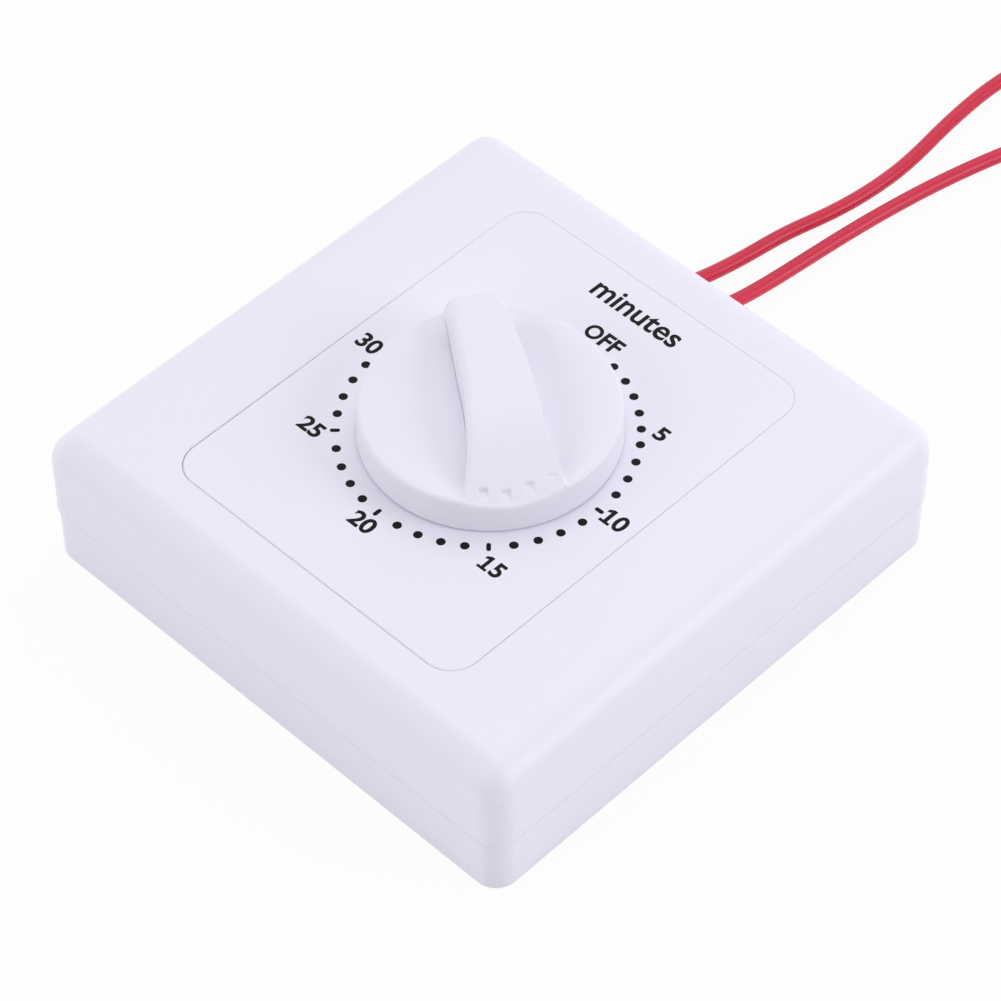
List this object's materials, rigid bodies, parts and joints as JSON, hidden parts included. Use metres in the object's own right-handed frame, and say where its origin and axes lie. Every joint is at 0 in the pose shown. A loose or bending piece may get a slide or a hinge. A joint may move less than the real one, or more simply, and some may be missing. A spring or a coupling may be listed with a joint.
{
  "type": "countdown timer switch",
  "caption": "Square surface-mounted wind-up countdown timer switch with a round grip-bar knob, an inset dial panel and two loose leads from one side.",
  "frame": {"origin": "middle of the flat back face of the case, on the wall", "axes": "+Z out of the front along the knob's axis, +Y towards the side that the leads leave, +X to the right of the dial"},
  "size_m": [0.086, 0.2358, 0.0316],
  "materials": {
    "case_plastic": "moulded urea or ABS, low sheen, cool white",
    "panel_plastic": "moulded, fine satin, cool white",
    "knob_plastic": "moulded, low sheen, cool white",
    "nylon": "natural nylon",
    "moulded_block": "brown phenolic",
    "brass_plate": "stamped brass",
    "zinc_steel": "zinc-plated, satin",
    "bright_steel": "turned steel",
    "spring_steel": "blued strip steel",
    "contact_bronze": "phosphor bronze strip",
    "contact_silver": "silver contact",
    "tinned_copper": "tinned copper",
    "red_pvc": "red PVC insulation"
  },
  "bodies": {
    "casing": {"front_cover": "case_plastic", "face_panel": "panel_plastic", "back_box": "case_plastic", "cover_screws": "zinc_steel", "lead_clamp": "nylon", "clamp_screws": "zinc_steel", "front_plate": "brass_plate", "back_plate": "brass_plate", "plate_pillars": "bright_steel", "arbor_bush": "brass_plate", "stop_pins": "bright_steel", "movement_screws": "zinc_steel", "mainspring": "spring_steel", "spring_post": "bright_steel", "contact_block": "moulded_block", "block_screws": "zinc_steel", "contact_pivot": "bright_steel", "fixed_contact": "contact_silver", "fixed_strip": "contact_bronze", "contact_rivet": "brass_plate", "supply_lug": "brass_plate", "load_lug": "brass_plate", "supply_lead": "red_pvc", "load_lead": "red_pvc", "supply_lead_core": "tinned_copper", "load_lead_core": "tinned_copper"},
    "turning_knob": {"knob": "knob_plastic", "knob_clip": "spring_steel", "main_arbor": "bright_steel", "great_wheel": "brass_plate", "friction_washer": "contact_bronze", "wheel_clip": "bright_steel", "stop_washer": "zinc_steel", "switch_cam": "nylon"},
    "second_shaft": {"second_arbor": "bright_steel", "second_wheel": "brass_plate"},
    "third_shaft": {"third_arbor": "bright_steel", "third_wheel": "brass_plate"},
    "escape_shaft": {"escape_arbor": "bright_steel", "escape_wheel": "brass_plate"},
    "pallet": {"pallet_arbor": "bright_steel", "pallet_lever": "bright_steel"},
    "contact_lever": {"contact_arm": "contact_bronze", "moving_contact": "contact_silver"}
  },
  "joints": [
    {"name": "knob_turn", "type": "hinge", "parent": "casing", "child": "turning_knob", "pos_m": [0, 0, 0], "axis": [0, 0, 1], "range_deg": [-143.73, 126.27]},
    {"name": "second_turn", "type": "hinge", "parent": "casing", "child": "second_shaft", "pos_m": [-0.01241, -0.01241, 0], "axis": [0, 0, 1], "range_deg": [-758.12, 862.88]},
    {"name": "third_turn", "type": "hinge", "parent": "casing", "child": "third_shaft", "pos_m": [-0.00582, -0.01703, 0], "axis": [0, 0, 1], "range_deg": [-3450.02, 3030.98]},
    {"name": "escape_turn", "type": "hinge", "parent": "casing", "child": "escape_shaft", "pos_m": [0.00222, -0.01745, 0], "axis": [0, 0, 1], "range_deg": [-12122.42, 13798.58]},
    {"name": "pallet_rock", "type": "hinge", "parent": "casing", "child": "pallet", "pos_m": [0.00918, -0.01492, 0], "axis": [0, 0, 1], "range_deg": [-5, 5]},
    {"name": "contact_swing", "type": "hinge", "parent": "casing", "child": "contact_lever", "pos_m": [-0.0126, 0.00945, 0], "axis": [0, 0, 1], "range_deg": [0, 2.5]}
  ],
  "couplings": [
    {"joint": "second_turn", "follows": "knob_turn", "ratio": -6},
    {"joint": "third_turn", "follows": "knob_turn", "ratio": 24},
    {"joint": "escape_turn", "follows": "knob_turn", "ratio": -96}
  ]
}
